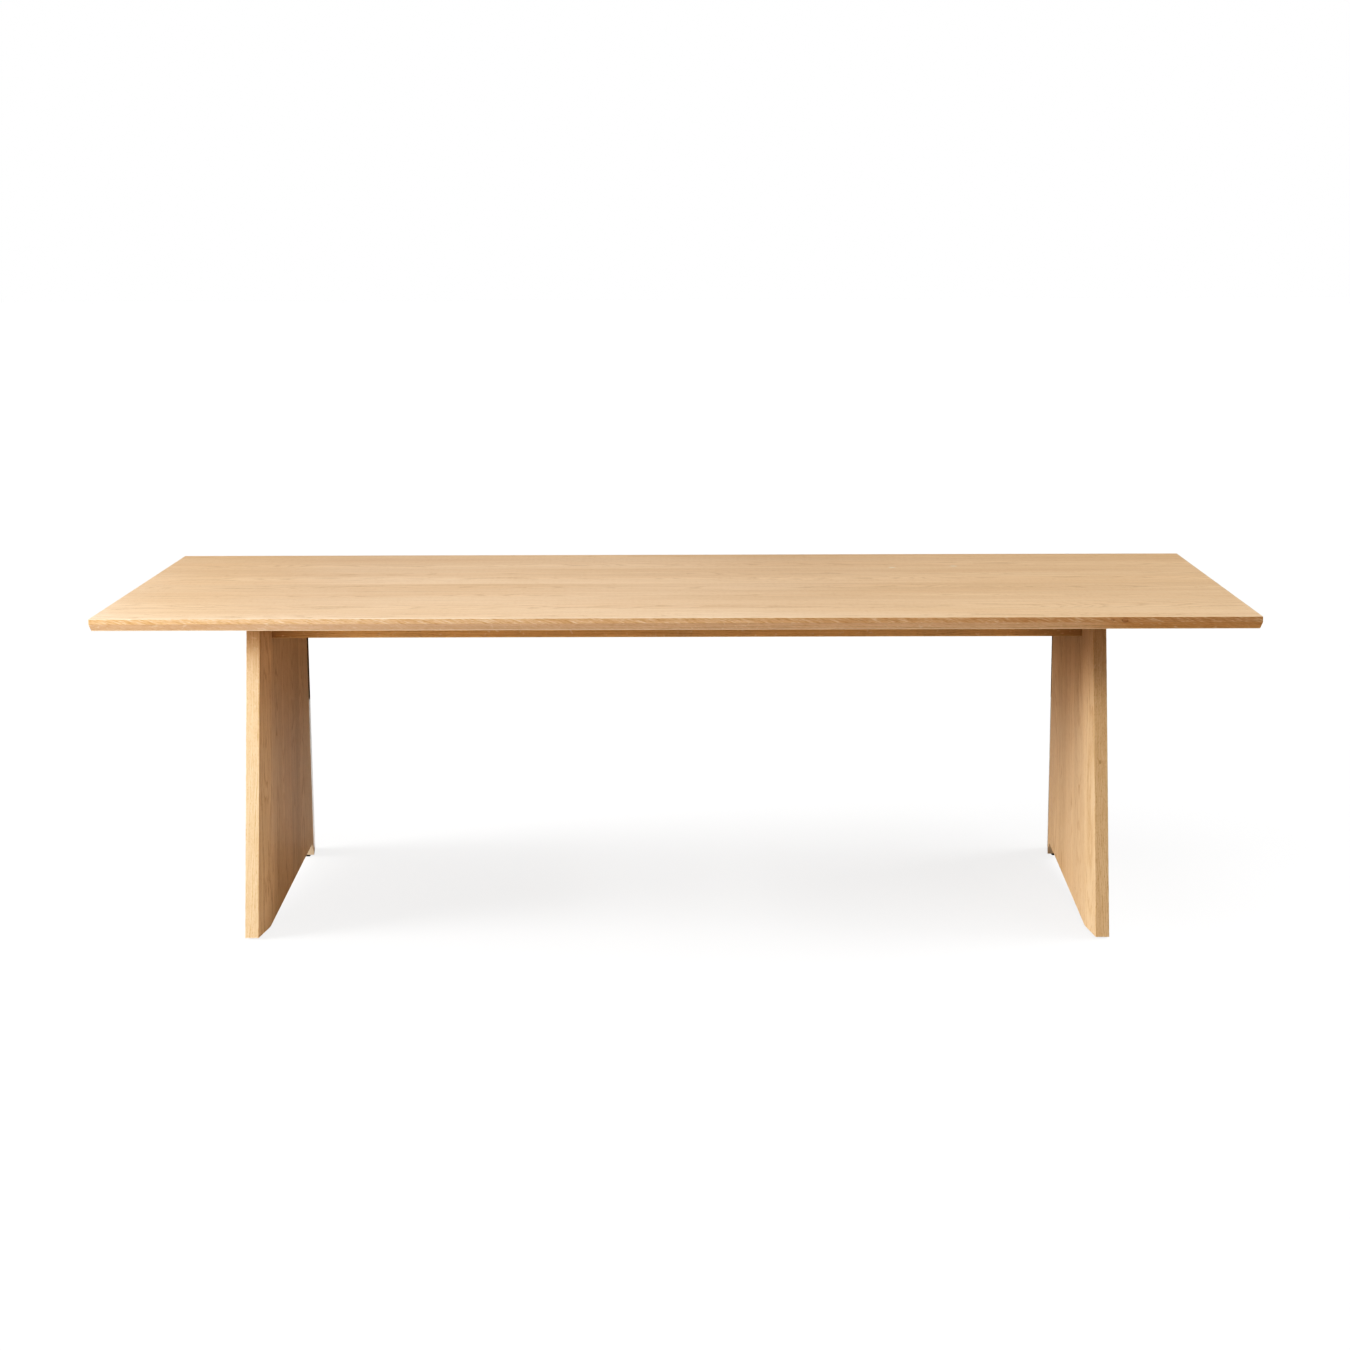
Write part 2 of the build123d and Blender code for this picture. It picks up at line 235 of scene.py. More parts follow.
# The surface: the base, then what streaks and pores add to it
oak_roughness = 0.36
streak_roughness = 0.16
pore_roughness = 0.20
arris_roughness = -0.08
oak_shine = 0.25
relief_depth = 0.00012  # in metres
early_relief = -0.30
streak_relief = 0.8
pore_relief = -0.7

# The top's edges, by how squarely the surface faces up, and how the painted light and shade on them
# change along X
edge_facing = (0.40, 0.80)
upright_facing = (0.05, 0.28)
upper_arris_facing = (0.12, 0.50)
left_end_reach = (-1.2, -0.75)
right_end_reach = (0.0, 0.96)
undercut_end_reach = (0.88, 1.02)
upright_ticks = 0.85
undercut_ticks = 0.25
whole_arris = 0.6  # how strongly the top's arris shows: a painted highlight all along, and wear again in broken stretches
undercut_foot = (-0.0275, -0.0255, 0.9, 0.0)  # a painted highlight line along the foot of the undercut, at these heights from the surface
worn_range = (0.35, 0.62)

# Painted light on a leg's sawn relief end, by how squarely it faces up or down, and its planed rear
# bevel
sawn_rise = (0.50, 0.62)
sawn_fall = (0.80, 0.90)
sawn_share = 0.85
rear_reach = (0.1, 0.2)
planed_roughness = -0.34
planed_shine = 0.45

# Arrises, worn and with a painted highlight
arris_width = 0.0028  # metres
arris_full_share = 0.3  # of that width, where the wear is at its full

# Boards: how bright and how warm each one is, from the front of the table to its rear
top_tones = (1.01, 0.99, 0.99, 0.98, 1.03, 1.00, 1.015, 0.99)
top_warmths = (0.40, 0.56, 0.54, 0.62, 0.34, 0.48, 0.42, 0.60)
leg_tones_and_painted_light = {
    "left": (1.00, 0.975, 1.00, 0.95, 0.985, 0.96),
    # the right leg's boards rise in brightness towards its rear: painted light where that leg is
    # lit more
    "right": (1.02, 1.03, 1.08, 1.09, 1.14, 1.14),
}
leg_warmths = (0.45, 0.55, 0.42, 0.60, 0.45, 0.52)
rail_tone = 0.98
cleat_tone = 0.96
frame_warmth = 0.6

# Painted light and shade along X: the top lit a little more left of its middle and less right of
# it, and the rail more at its left and less at its right, as (centre, reach, change)
top_painted_light = ((-0.50, 0.55, 0.05), (0.30, 0.40, -0.04))
rail_painted_light = ((-0.68, 0.35, 0.14), (0.85, 0.60, -0.08))

# Small knots by board, as (a point on its surface, radius)
knots = {
    "top_board_1": (
        (Vector((0.9957, cad_low.y + 0.001, cad_high.z - 0.0080)), 0.0041),
        (Vector((0.968, cad_low.y, cad_high.z - 0.0075)), 0.0020),
    ),
    "right_leg_board_1": ((Vector((0.966, -0.3573, 0.397)), 0.0018),),
}

# Small pale flecks, the same way
flecks = {
    "top_board_7": (
        (Vector((0.537, 0.2585, cad_high.z)), 0.0066),
        (Vector((0.694, 0.279, cad_high.z)), 0.0070),
    ),
}

# A leg's front and rear edges lean in towards the top, by this much for each metre up
leg_lean = 0.1077
leg_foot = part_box("left_leg_board_1")[0].z
leg_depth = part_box("left_leg_board_6")[1].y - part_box("left_leg_board_1")[0].y
bevel_facing = (0.97, 0.98)  # a leg's bevels face this squarely along X, and its flats more so
flat_facing = (0.994, 0.998)

# Fasteners, in metres
turning_steps = 24
thread_rings = 5  # for each turn of a thread
weld_distance = 1e-6
sharp_degrees = 34
channel_screw_head = 0.0024
channel_screw_radius = 0.00225
top_screw_head = 0.0035
top_screw_radius = 0.0030
bolt_apothem = 0.0065
bolt_head = 0.0053
bolt_radius = 0.0040
bolt_pitch = 0.00125
bolt_hole = 1.025  # the washer's hole, as a share of the bolt's radius
washer_ease = 0.15  # of its thickness

# A hexagon bolt, in shares: of its head for the first two, then of its length and radius
head_dimple = ((0.52, 0.93), (0.60, 1.0))
head_flat = 0.95
shank_end = 0.55
bolt_thread = (0.56, 0.97)
bolt_core = 0.86
bolt_tip = 0.78

# A pan head as (share of its radius, share of its height), from its crown to its bearing face
pan_profile = ((0.66, 0.96), (0.84, 0.84), (0.95, 0.62), (1.0, 0.36), (0.995, 0.0))

# The rest of a screw: its drive recess, in shares of the head, and its shank, in shares of its
# radius, apart from where its thread starts
recess_share = 0.46
recess_lobes = 6
lobe_depth = 0.17
recess_foot = (0.86, 0.35)
recess_rim = 0.97
screw_neck = 0.80
screw_core = 0.72
screw_pitch = 0.85
screw_tip = (0.70, 0.06)
thread_start = 0.0015  # metres


class Paint:
    """The node tree of one material, with a short call for each kind of node."""

    def __init__(self, name):
        self.material = bpy.data.materials.new(name)
        self.material.use_nodes = True
        self.nodes = self.material.node_tree.nodes
        self.links = self.material.node_tree.links
        self.shader = self.nodes["Principled BSDF"]

    def feed(self, socket, value):
        if isinstance(value, bpy.types.NodeSocket):
            self.links.new(value, socket)
        else:
            socket.default_value = value

    def set(self, **values):
        """Feeds the shader's own sockets, named with underscores for spaces."""
        for name, value in values.items():
            self.feed(self.shader.inputs[name.replace("_", " ")], value)

    def math(self, operation, *values):
        node = self.nodes.new("ShaderNodeMath")
        node.operation = operation
        for socket, value in zip(node.inputs, values):
            self.feed(socket, value)
        return node.outputs["Value"]

    def add(self, first, second):
        return self.math("ADD", first, second)

    def times(self, first, second):
        return self.math("MULTIPLY", first, second)

    def times_plus(self, value, factor, extra):
        return self.math("MULTIPLY_ADD", value, factor, extra)

    def rest_of(self, share):
        return self.math("SUBTRACT", 1.0, share)

    def place(self):
        """The three coordinates of the shaded point, in the row frame."""
        coordinates = self.nodes.new("ShaderNodeTexCoord")
        split = self.nodes.new("ShaderNodeSeparateXYZ")
        self.links.new(coordinates.outputs["Object"], split.inputs["Vector"])
        return [split.outputs[axis] for axis in "XYZ"]

    def facing(self, axis):
        """How squarely the surface faces along an axis, from 0 to 1."""
        geometry = self.nodes.new("ShaderNodeNewGeometry")
        split = self.nodes.new("ShaderNodeSeparateXYZ")
        self.links.new(geometry.outputs["Normal"], split.inputs["Vector"])
        return self.math("ABSOLUTE", split.outputs[axis])

    def noise(self, x, y, z, detail=2.0, roughness=0.5):
        join = self.nodes.new("ShaderNodeCombineXYZ")
        for socket, value in zip(join.inputs, (x, y, z)):
            self.feed(socket, value)
        texture = self.nodes.new("ShaderNodeTexNoise")
        texture.inputs["Scale"].default_value = 1.0
        texture.inputs["Detail"].default_value = detail
        texture.inputs["Roughness"].default_value = roughness
        self.links.new(join.outputs["Vector"], texture.inputs["Vector"])
        return texture.outputs["Fac"]

    def speckle(self, scales, detail, roughness=0.5):
        """Noise with its own number of changes in a metre along each axis."""
        x, y, z = (self.times(distance, scale) for distance, scale in zip(self.place(), scales))
        return self.noise(x, y, z, detail, roughness)

    def ease(self, value, low, high, start=0.0, end=1.0):
        """Goes smoothly from start to end as the value goes from low to high."""
        node = self.nodes.new("ShaderNodeMapRange")
        node.interpolation_type = "SMOOTHSTEP"
        for socket, number in zip(node.inputs, (value, low, high, start, end)):
            self.feed(socket, number)
        return node.outputs["Result"]

    def fall(self, value, low, high):
        """Goes smoothly from 1 to 0 as the value goes from low to high."""
        return self.ease(value, low, high, 1.0, 0.0)

    def hump(self, value, centre, reach):
        """1 where the value is at the centre, and smoothly down to 0 a reach away from it."""
        gap = self.math("ABSOLUTE", self.add(value, -centre))
        return self.fall(gap, 0.0, reach)

    def mix(self, share, first, second):
        """A colour between two others."""
        node = self.nodes.new("ShaderNodeMix")
        node.data_type = "RGBA"
        sockets = [socket for socket in node.inputs if socket.type == "RGBA"]
        self.feed(node.inputs["Factor"], share)
        self.feed(sockets[0], first)
        self.feed(sockets[1], second)
        return next(socket for socket in node.outputs if socket.type == "RGBA")

    def tint(self, share, colour, factor):
        """Multiplies a colour by another, by a share of the way."""
        node = self.nodes.new("ShaderNodeMix")
        node.data_type = "RGBA"
        node.blend_type = "MULTIPLY"
        sockets = [socket for socket in node.inputs if socket.type == "RGBA"]
        self.feed(node.inputs["Factor"], share)
        self.feed(sockets[0], colour)
        self.feed(sockets[1], factor)
        return next(socket for socket in node.outputs if socket.type == "RGBA")

    def deepen(self, colour, factor, powers):
        """Scales a colour by its own power of one factor in each of red, green and blue."""
        join = self.nodes.new("ShaderNodeCombineXYZ")
        for socket, power in zip(join.inputs, powers):
            self.feed(socket, self.math("POWER", factor, power))
        node = self.nodes.new("ShaderNodeVectorMath")
        node.operation = "MULTIPLY"
        self.feed(node.inputs[0], colour)
        self.feed(node.inputs[1], join.outputs["Vector"])
        return node.outputs["Vector"]

    def scale(self, colour, factor):
        node = self.nodes.new("ShaderNodeVectorMath")
        node.operation = "SCALE"
        self.feed(node.inputs["Vector"], colour)
        self.feed(node.inputs["Scale"], factor)
        return node.outputs["Vector"]

    def bump(self, height, depth):
        """Raises the surface by up to a depth in metres where the height is 1."""
        node = self.nodes.new("ShaderNodeBump")
        node.inputs["Distance"].default_value = depth
        self.links.new(height, node.inputs["Height"])
        self.links.new(node.outputs["Normal"], self.shader.inputs["Normal"])


class Figure:
    """The figure of one oak board: growth rings round a pith, fibres, pores and rays.

    along, across and through are coordinates in the board's own directions. The rings are
    cylinders round a pith outside the board that wanders a little, so a face cut near them
    shows arches, an edge shows lines and an end shows arcs.
    """

    def __init__(self, paint, axes, middle, seed, knots=()):
        self.paint = paint
        self.grain = axes[0]
        draw = random.Random(seed)
        place = paint.place()
        self.along, self.across, self.through = (
            paint.add(place[axis], -middle[axis]) for axis in axes
        )
        self.shift = draw.uniform(*figure_shift)
        self.knots = [self.near_knot(place, point, size) for point, size in knots]
        self.rings(draw)

    def field(self, noise, detail=2.0, roughness=0.5):
        """One of the noises, longer along the grain than across it."""
        paint = self.paint
        along_scale, cross_scale, step = noise
        shifted = paint.times_plus(self.along, along_scale, self.shift + step)
        across = paint.times(self.across, cross_scale)
        through = paint.times(self.through, cross_scale)
        return paint.noise(shifted, across, through, detail, roughness)

    def near_knot(self, place, point, size):
        """Distance from a knot, in units of its size. A knot is longer along the grain."""
        paint = self.paint
        squares = []
        for axis in range(3):
            offset = paint.add(place[axis], -point[axis])
            if axis == self.grain:
                offset = paint.times(offset, 1 / knot_length)
            squares.append(paint.times(offset, offset))
        total = paint.add(paint.add(squares[0], squares[1]), squares[2])
        return paint.times(paint.math("SQRT", total), 1 / size)

    def rings(self, draw):
        """The distance from the pith, and where the early wood of each ring is."""
        paint = self.paint
        aside = draw.uniform(-pith_aside, pith_aside)
        depth = draw.choice((-1, 1)) * draw.uniform(*pith_depth)
        tilt = draw.uniform(-pith_tilt, pith_tilt)
        wander = paint.times_plus(self.field(wander_noise), pith_wander, -pith_wander / 2 - aside)
        rise = paint.times_plus(self.field(rise_noise), pith_rise, -pith_rise / 2 - depth)
        rise = paint.times_plus(self.along, tilt, rise)
        self.from_pith_across = paint.add(self.across, wander)
        self.from_pith_through = paint.add(self.through, rise)
        square = paint.times(self.from_pith_across, self.from_pith_across)
        square = paint.times_plus(self.from_pith_through, self.from_pith_through, square)
        self.radius = paint.math("SQRT", square)
        for distance in self.knots:
            self.radius = paint.add(self.radius, paint.ease(distance, *knot_bend))
        ripple = paint.times(self.field(ripple_noise), ring_ripple)
        slow = paint.noise(paint.times(self.radius, ring_drift_scale), self.shift, 0.0)
        drift = paint.times_plus(slow, ring_drift, ripple)
        turns = paint.times_plus(self.radius, 1 / ring_spacing, drift)
        self.early = paint.fall(paint.math("FRACT", turns), *early_wood)

    def pores(self):
        """Short dark vessels along the grain, crowded into each ring's early wood."""
        paint = self.paint
        fine = self.field(pore_noise, detail=1.0)
        crowding = paint.times_plus(self.early, pore_crowding, -pore_crowding / 2)
        return paint.ease(paint.add(fine, crowding), *pore_range)

    def ticks(self):
        """Short slanting dashes, where a sawn edge cuts the fibres at an angle: dark, then pale."""
        paint = self.paint
        drift = paint.times(self.field(drift_noise), tick_drift)
        slant = paint.times_plus(self.along, tick_slant, drift)
        level = paint.times_plus(self.through, tick_fineness, slant)
        side = paint.times_plus(self.across, tick_fineness, self.shift)
        length = paint.times(self.along, tick_length_scale)
        dashes = paint.noise(length, level, side, detail=2.0, roughness=0.6)
        return paint.ease(dashes, *dark_tick_range), paint.fall(dashes, *light_tick_range)

    def rays(self):
        """Flecks where a ray lies in the surface: thin across it, long towards the pith."""
        paint = self.paint
        angle_scale, radius_scale, along_scale = ray_scales
        angle = paint.math("ARCTAN2", self.from_pith_across, self.from_pith_through)
        flecks = paint.noise(
            paint.times(angle, angle_scale),
            paint.times(self.radius, radius_scale),
            paint.times_plus(self.along, along_scale, self.shift),
            detail=1.0,
        )
        return paint.ease(flecks, *ray_range)


def arris_of_box(paint, low, high):
    """1 on the long outer edges of a box, 0 away from them, from the distances to its sides."""
    gaps = []
    for coordinate, low_side, high_side in zip(paint.place(), low, high):
        from_middle = paint.math("ABSOLUTE", paint.add(coordinate, -(low_side + high_side) / 2))
        gaps.append(paint.math("SUBTRACT", (high_side - low_side) / 2, from_middle))
    return nearest_edge(paint, gaps)


def arris_of_leg(paint, low, high):
    """The same for a leg, whose front and rear edges lean in towards the top."""
    x, y, z = paint.place()
    outer = max(abs(low[0]), abs(high[0]))
    outer_gap = paint.math("SUBTRACT", outer, paint.math("ABSOLUTE", x))
    half_depth = paint.times_plus(z, -leg_lean, leg_depth / 2 + leg_lean * leg_foot)
    edge_gap = paint.math("SUBTRACT", half_depth, paint.math("ABSOLUTE", y))
    return nearest_edge(paint, [outer_gap, edge_gap, paint.add(z, -leg_foot)])


def nearest_edge(paint, gaps):
    """Near an edge two of the three gaps are small, so the middle one of the three is small."""
    first, second, third = gaps
    smaller = paint.math("MINIMUM", first, second)
    larger = paint.math("MAXIMUM", first, second)
    middle = paint.math("MAXIMUM", smaller, paint.math("MINIMUM", larger, third))
    return paint.fall(middle, arris_width * arris_full_share, arris_width)


class Oak:
    """Oiled oak for one board, painted in steps that each change the colour so far."""

    def __init__(self, name, axes, contrast, knots=()):
        self.paint = Paint(name)
        self.figure = Figure(self.paint, axes, middle_of(name), name, knots)
        self.grain = axes[0]
        self.contrast = contrast
        self.place = self.paint.place()
        self.streak = self.figure.field(streak_noise, detail=3.0, roughness=0.6)
        self.pores = self.figure.pores()
        self.set_surface()

    def set_surface(self):
        """Streaks and pores are rougher, and early wood and pores lie lower."""
        paint = self.paint
        rough = paint.times_plus(self.streak, streak_roughness, oak_roughness)
        self.rough = paint.times_plus(self.pores, pore_roughness, rough)
        relief = paint.times(self.streak, streak_relief)
        relief = paint.times_plus(self.figure.early, early_relief, relief)
        self.relief = paint.times_plus(self.pores, pore_relief, relief)
        self.shine = oak_shine

    def tint(self, share, factor):
        self.colour = self.paint.tint(share, self.colour, factor)

    def cover(self, share, colour):
        self.colour = self.paint.mix(share, self.colour, colour)

    def lay_ground(self, colours, warmth, swing):
        """The ground colour drifts between a paler and a warmer one, round the board's warmth."""
        cloud = self.figure.field(cloud_noise, detail=3.0, roughness=0.55)
        least = max(0.0, warmth - swing)
        most = min(1.0, warmth + swing)
        share = self.paint.ease(cloud, *cloud_range, least, most)
        self.colour = self.paint.mix(share, *colours)

    def painted_shade(self, axis, start, end):
        """Paints shade that deepens between two distances from the origin along an axis."""
        distance = self.paint.math("ABSOLUTE", self.place[axis])
        self.tint(self.paint.ease(distance, start, end), painted_shade_tint)

    def draw_grain(self, powers):
        """Rings and streaks deepen the colour."""
        paint = self.paint
        lift = 1 + ring_lift * self.contrast
        grain = paint.times_plus(self.figure.early, -early_depth * self.contrast, lift)
        streak = paint.add(self.streak, -0.5)
        grain = paint.times_plus(streak, streak_depth * self.contrast, grain)
        self.colour = paint.deepen(self.colour, grain, powers)

    def set_tone(self, tone, light_swells=(), face=1.0):
        """The board's brightness, less on its end grain, and changed by painted light and shade
        along X on its face.
        """
        paint = self.paint
        end_grain = paint.ease(paint.facing(self.grain), *end_grain_facing)
        light = paint.times(tone, paint.times_plus(end_grain, -end_grain_loss, 1.0))
        for centre, reach, change in light_swells:
            swell = paint.times(paint.hump(self.place[0], centre, reach), face)
            light = paint.times(light, paint.times_plus(swell, change, 1.0))
        self.colour = paint.scale(self.colour, light)

    def draw_marks(self):
        """Rays, pores and knots."""
        paint = self.paint
        self.cover(paint.times(self.figure.rays(), ray_share * self.contrast), fleck_cream)
        self.cover(paint.times(self.pores, pore_share * self.contrast), pore_brown)
        for distance in self.figure.knots:
            self.draw_knot(distance)

    def draw_knot(self, distance):
        """A knot has a halo, a faint core, and round that a dark rim with gaps in it."""
        paint = self.paint
        rim = paint.times(
            paint.ease(distance, *knot_rim_rise),
            paint.ease(distance, *knot_rim_fade),
        )
        rim = paint.times(rim, paint.ease(self.figure.field(bark_noise), *knot_rim_gaps))
        self.tint(paint.ease(distance, *knot_halo_fade), knot_halo)
        self.cover(paint.ease(distance, *knot_core_fade), knot_brown)
        self.cover(rim, knot_brown)

    def draw_fleck(self, point, size):
        distance = self.figure.near_knot(self.place, point, size)
        self.cover(self.paint.ease(distance, *fleck_fade), fleck_white)

    def in_stretches(self, arris):
        """Breaks the wear of an arris into stretches."""
        stretches = self.paint.ease(self.figure.field(worn_noise), *worn_range)
        return self.paint.times(arris, stretches)

    def wear_and_light_arris(self, worn_and_lit):
        """An arris with wear and a painted highlight is paler and smoother."""
        self.cover(self.paint.times(worn_and_lit, arris_share), arris_cream)
        self.rough = self.paint.times_plus(worn_and_lit, arris_roughness, self.rough)

    def finish(self):
        self.paint.set(Base_Color=self.colour, Roughness=self.rough, Specular_IOR_Level=self.shine)
        self.paint.bump(self.relief, relief_depth)
        return self.paint.material


def paint_top_board(name, tone, warmth):
    """A board of the top, with painted light and shade on its edges and a painted highlight along
    its arris.
    """
    oak = Oak(name, ALONG_TABLE, top_contrast, knots.get(name, ()))
    oak.lay_ground((top_pale, top_warm), warmth, board_swing)
    level = oak.paint.facing(2)
    edge = oak.paint.fall(level, *edge_facing)
    upright = oak.paint.fall(level, *upright_facing)
    undercut = oak.paint.math("SUBTRACT", edge, upright)
    paint_light_on_top_edges(oak, edge, upright, undercut)
    tick_top_edges(oak, upright, undercut)
    oak.draw_grain(top_grain)
    oak.set_tone(tone, top_painted_light, face=oak.paint.rest_of(edge))
    oak.draw_marks()
    for point, size in flecks.get(name, ()):
        oak.draw_fleck(point, size)
    wear_and_light_top_arris(oak, level, undercut)
    return oak.finish()


def paint_light_on_top_edges(oak, edge, upright, undercut):
    # Painted shade and light: the edges darker than the face, the undercut darker at the left,
    # lighter at the right and darker again at its far right end, the band darker at its right end,
    # and the left end a little warmer
    paint = oak.paint
    x = oak.place[0]
    oak.tint(edge, edge_painted_shade)
    oak.tint(paint.fall(x, *left_end_reach), left_end_tint)
    to_right = paint.ease(x, cad_low.x, cad_high.x)
    oak.tint(undercut, paint.mix(to_right, undercut_left_painted_shade, undercut_right_painted_light))
    oak.tint(paint.times(undercut, paint.ease(x, *undercut_end_reach)), undercut_end_painted_shade)
    oak.tint(paint.times(upright, paint.ease(x, *right_end_reach)), right_end_painted_shade)


def tick_top_edges(oak, upright, undercut):
    """Sawn ticks, dark and pale, which show less on the undercut."""
    paint = oak.paint
    share = paint.add(paint.times(upright, upright_ticks), paint.times(undercut, undercut_ticks))
    dark, pale = oak.figure.ticks()
    oak.cover(paint.times(dark, paint.times(share, dark_tick_share)), pore_brown)
    oak.cover(paint.times(pale, paint.times(share, light_tick_share)), arris_cream)


def wear_and_light_top_arris(oak, level, undercut):
    """A painted highlight along the top's upper arris, with wear in broken stretches, and a painted
    highlight along the foot of its undercut.
    """
    paint = oak.paint
    arris = arris_of_box(paint, cad_low, cad_high)
    worn_and_lit = paint.times_plus(oak.in_stretches(arris), whole_arris, paint.times(arris, whole_arris))
    worn_and_lit = paint.times(worn_and_lit, paint.ease(level, *upper_arris_facing))
    low, high, start, end = undercut_foot
    foot = paint.ease(oak.place[2], cad_high.z + low, cad_high.z + high, start, end)
    oak.wear_and_light_arris(paint.add(worn_and_lit, paint.times(undercut, foot)))


def paint_leg_board(name, painted_shade, tone, warmth):
    """A board of a leg: painted shade under the top, painted light on the relief's sawn end, and a
    smoother rear bevel.
    """
    oak = Oak(name, UP_LEG, leg_contrast, knots.get(name, ()))
    oak.lay_ground((leg_pale, leg_warm), warmth, leg_swing)
    oak.painted_shade(*painted_shade)
    oak.draw_grain(leg_grain)
    oak.set_tone(tone)
    oak.draw_marks()
    oak.wear_and_light_arris(oak.in_stretches(arris_of_leg(oak.paint, *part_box(name))))
    light_sawn_end(oak)
    plane_rear_bevel(oak)
    return oak.finish()


def light_sawn_end(oak):
    # Painted light: where the relief's sawn end faces half down, it is made paler
    paint = oak.paint
    level = paint.facing(2)
    sawn = paint.times(paint.ease(level, *sawn_rise), paint.fall(level, *sawn_fall))
    oak.cover(paint.times(sawn, sawn_share), sawn_end_painted_light)


def plane_rear_bevel(oak):
    """The rear bevel is planed smooth, so it mirrors the studio."""
    paint = oak.paint
    sideways = paint.facing(0)
    flat = paint.ease(sideways, *flat_facing)
    planed = paint.math("SUBTRACT", paint.ease(sideways, *bevel_facing), flat)
    planed = paint.times(planed, paint.ease(oak.place[1], *rear_reach))
    oak.rough = paint.times_plus(planed, planed_roughness, oak.rough)
    oak.shine = paint.times_plus(planed, planed_shine, oak.shine)
    oak.relief = paint.times(oak.relief, paint.rest_of(planed))


def paint_rail(name):
    """A long rail, with painted shade in the corners by the legs and painted light and shade along
    X.
    """
    oak = Oak(name, ALONG_TABLE, rail_contrast)
    oak.lay_ground((frame_pale, frame_warm), frame_warmth, board_swing)
    oak.painted_shade(*rail_painted_shade)
    oak.draw_grain(leg_grain)
    oak.set_tone(rail_tone, rail_painted_light)
    oak.draw_marks()
    return oak.finish()


def paint_cleat(name):
    """A cleat or a cross rail."""
    oak = Oak(name, ALONG_DEPTH, cleat_contrast)
    oak.lay_ground((frame_pale, frame_warm), frame_warmth, board_swing)
    oak.draw_grain(leg_grain)
    oak.set_tone(cleat_tone)
    oak.draw_marks()
    return oak.finish()


def paint_beech():
    """Plain beech for the tongues and dowels inside the joints."""
    pale = (0.66, 0.42, 0.24, 1.0)
    tan = (0.52, 0.30, 0.155, 1.0)
    ray_brown = (0.36, 0.19, 0.09, 1.0)
    paint = Paint("joinery_beech")
    grain = paint.speckle((14.0, 260.0, 260.0), detail=3.0)
    rays = paint.speckle((300.0, 900.0, 900.0), detail=1.0)
    colour = paint.mix(grain, pale, tan)
    colour = paint.mix(paint.ease(rays, low=0.60, high=0.72, end=0.4), colour, ray_brown)
    paint.set(Base_Color=colour, Roughness=paint.times_plus(grain, factor=0.2, extra=0.42))
    paint.bump(grain, depth=0.0001)
    return paint.material


def paint_powder_coat():
    """Black powder coat with its fine orange peel, and dust-grey scuffs here and there."""
    black = (0.012, 0.012, 0.013, 1.0)
    dust_grey = (0.028, 0.027, 0.026, 1.0)
    paint = Paint("powder_coat")
    peel = paint.speckle((900.0, 900.0, 900.0), detail=2.0)
    scuffs = paint.speckle((24.0, 24.0, 24.0), detail=4.0, roughness=0.65)
    scuffs = paint.ease(scuffs, low=0.55, high=0.75)
    colour = paint.mix(scuffs, black, dust_grey)
    paint.set(Base_Color=colour, Roughness=paint.times_plus(scuffs, factor=0.18, extra=0.42))
    paint.bump(peel, depth=0.00006)
    return paint.material


def paint_zinc():
    """Bright zinc plate, a little cloudy, with fine turning marks."""
    bright = (0.62, 0.61, 0.57, 1.0)
    dull = (0.46, 0.46, 0.45, 1.0)
    paint = Paint("zinc_plate")
    paint.set(Metallic=1.0)
    cloud = paint.speckle((160.0, 160.0, 160.0), detail=3.0)
    marks = paint.speckle((2600.0, 2600.0, 2600.0), detail=1.0)
    colour = paint.mix(cloud, bright, dull)
    paint.set(Base_Color=colour, Roughness=paint.times_plus(cloud, factor=0.22, extra=0.20))
    paint.bump(marks, depth=0.00002)
    return paint.material


def paint_glide():
    """Moulded black plastic with a fine spark texture, dulled where it rubs the floor."""
    black = (0.016, 0.016, 0.016, 1.0)
    rubbed = (0.040, 0.038, 0.036, 1.0)
    paint = Paint("glide_plastic")
    spark = paint.speckle((1400.0, 1400.0, 1400.0), detail=2.0)
    rub = paint.speckle((70.0, 70.0, 70.0), detail=3.0)
    rub = paint.ease(rub, low=0.42, high=0.62)
    colour = paint.mix(rub, black, rubbed)
    paint.set(Base_Color=colour, Roughness=paint.times_plus(rub, factor=0.22, extra=0.50))
    paint.bump(spark, depth=0.00005)
    return paint.material


def middle_of(name):
    low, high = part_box(name)
    return (low + high) / 2


def wear(name, material):
    """Gives a CAD node one material."""
    slots = nodes[name].data.materials
    slots.clear()
    slots.append(material)


def paint_boards():
    for number, (tone, warmth) in enumerate(zip(top_tones, top_warmths), start=1):
        name = f"top_board_{number}"
        wear(name, paint_top_board(name, tone, warmth))
    for side in ("left", "right"):
        for number, (tone, warmth) in enumerate(zip(leg_tones_and_painted_light[side], leg_warmths), start=1):
            name = f"{side}_leg_board_{number}"
            wear(name, paint_leg_board(name, leg_painted_shades[side], tone, warmth))
    for name in ("front_rail", "rear_rail"):
        wear(name, paint_rail(name))
    for name in ("left_cleat", "right_cleat", "left_cross_rail", "right_cross_rail"):
        wear(name, paint_cleat(name))


def paint_hidden_parts():
    beech = paint_beech()
    coat = paint_powder_coat()
    zinc = paint_zinc()
    glide = paint_glide()
    for name in ("top_splines", "left_leg_splines", "right_leg_splines", "frame_dowels"):
        wear(name, beech)
    for name in ("left_channel", "centre_channel", "right_channel"):
        wear(name, coat)
    for name in ("leg_inserts", "glide_screws"):
        wear(name, zinc)
    for side in ("left", "right"):
        for end in ("front", "rear"):
            wear(f"{side}_{end}_glide", glide)
    return zinc


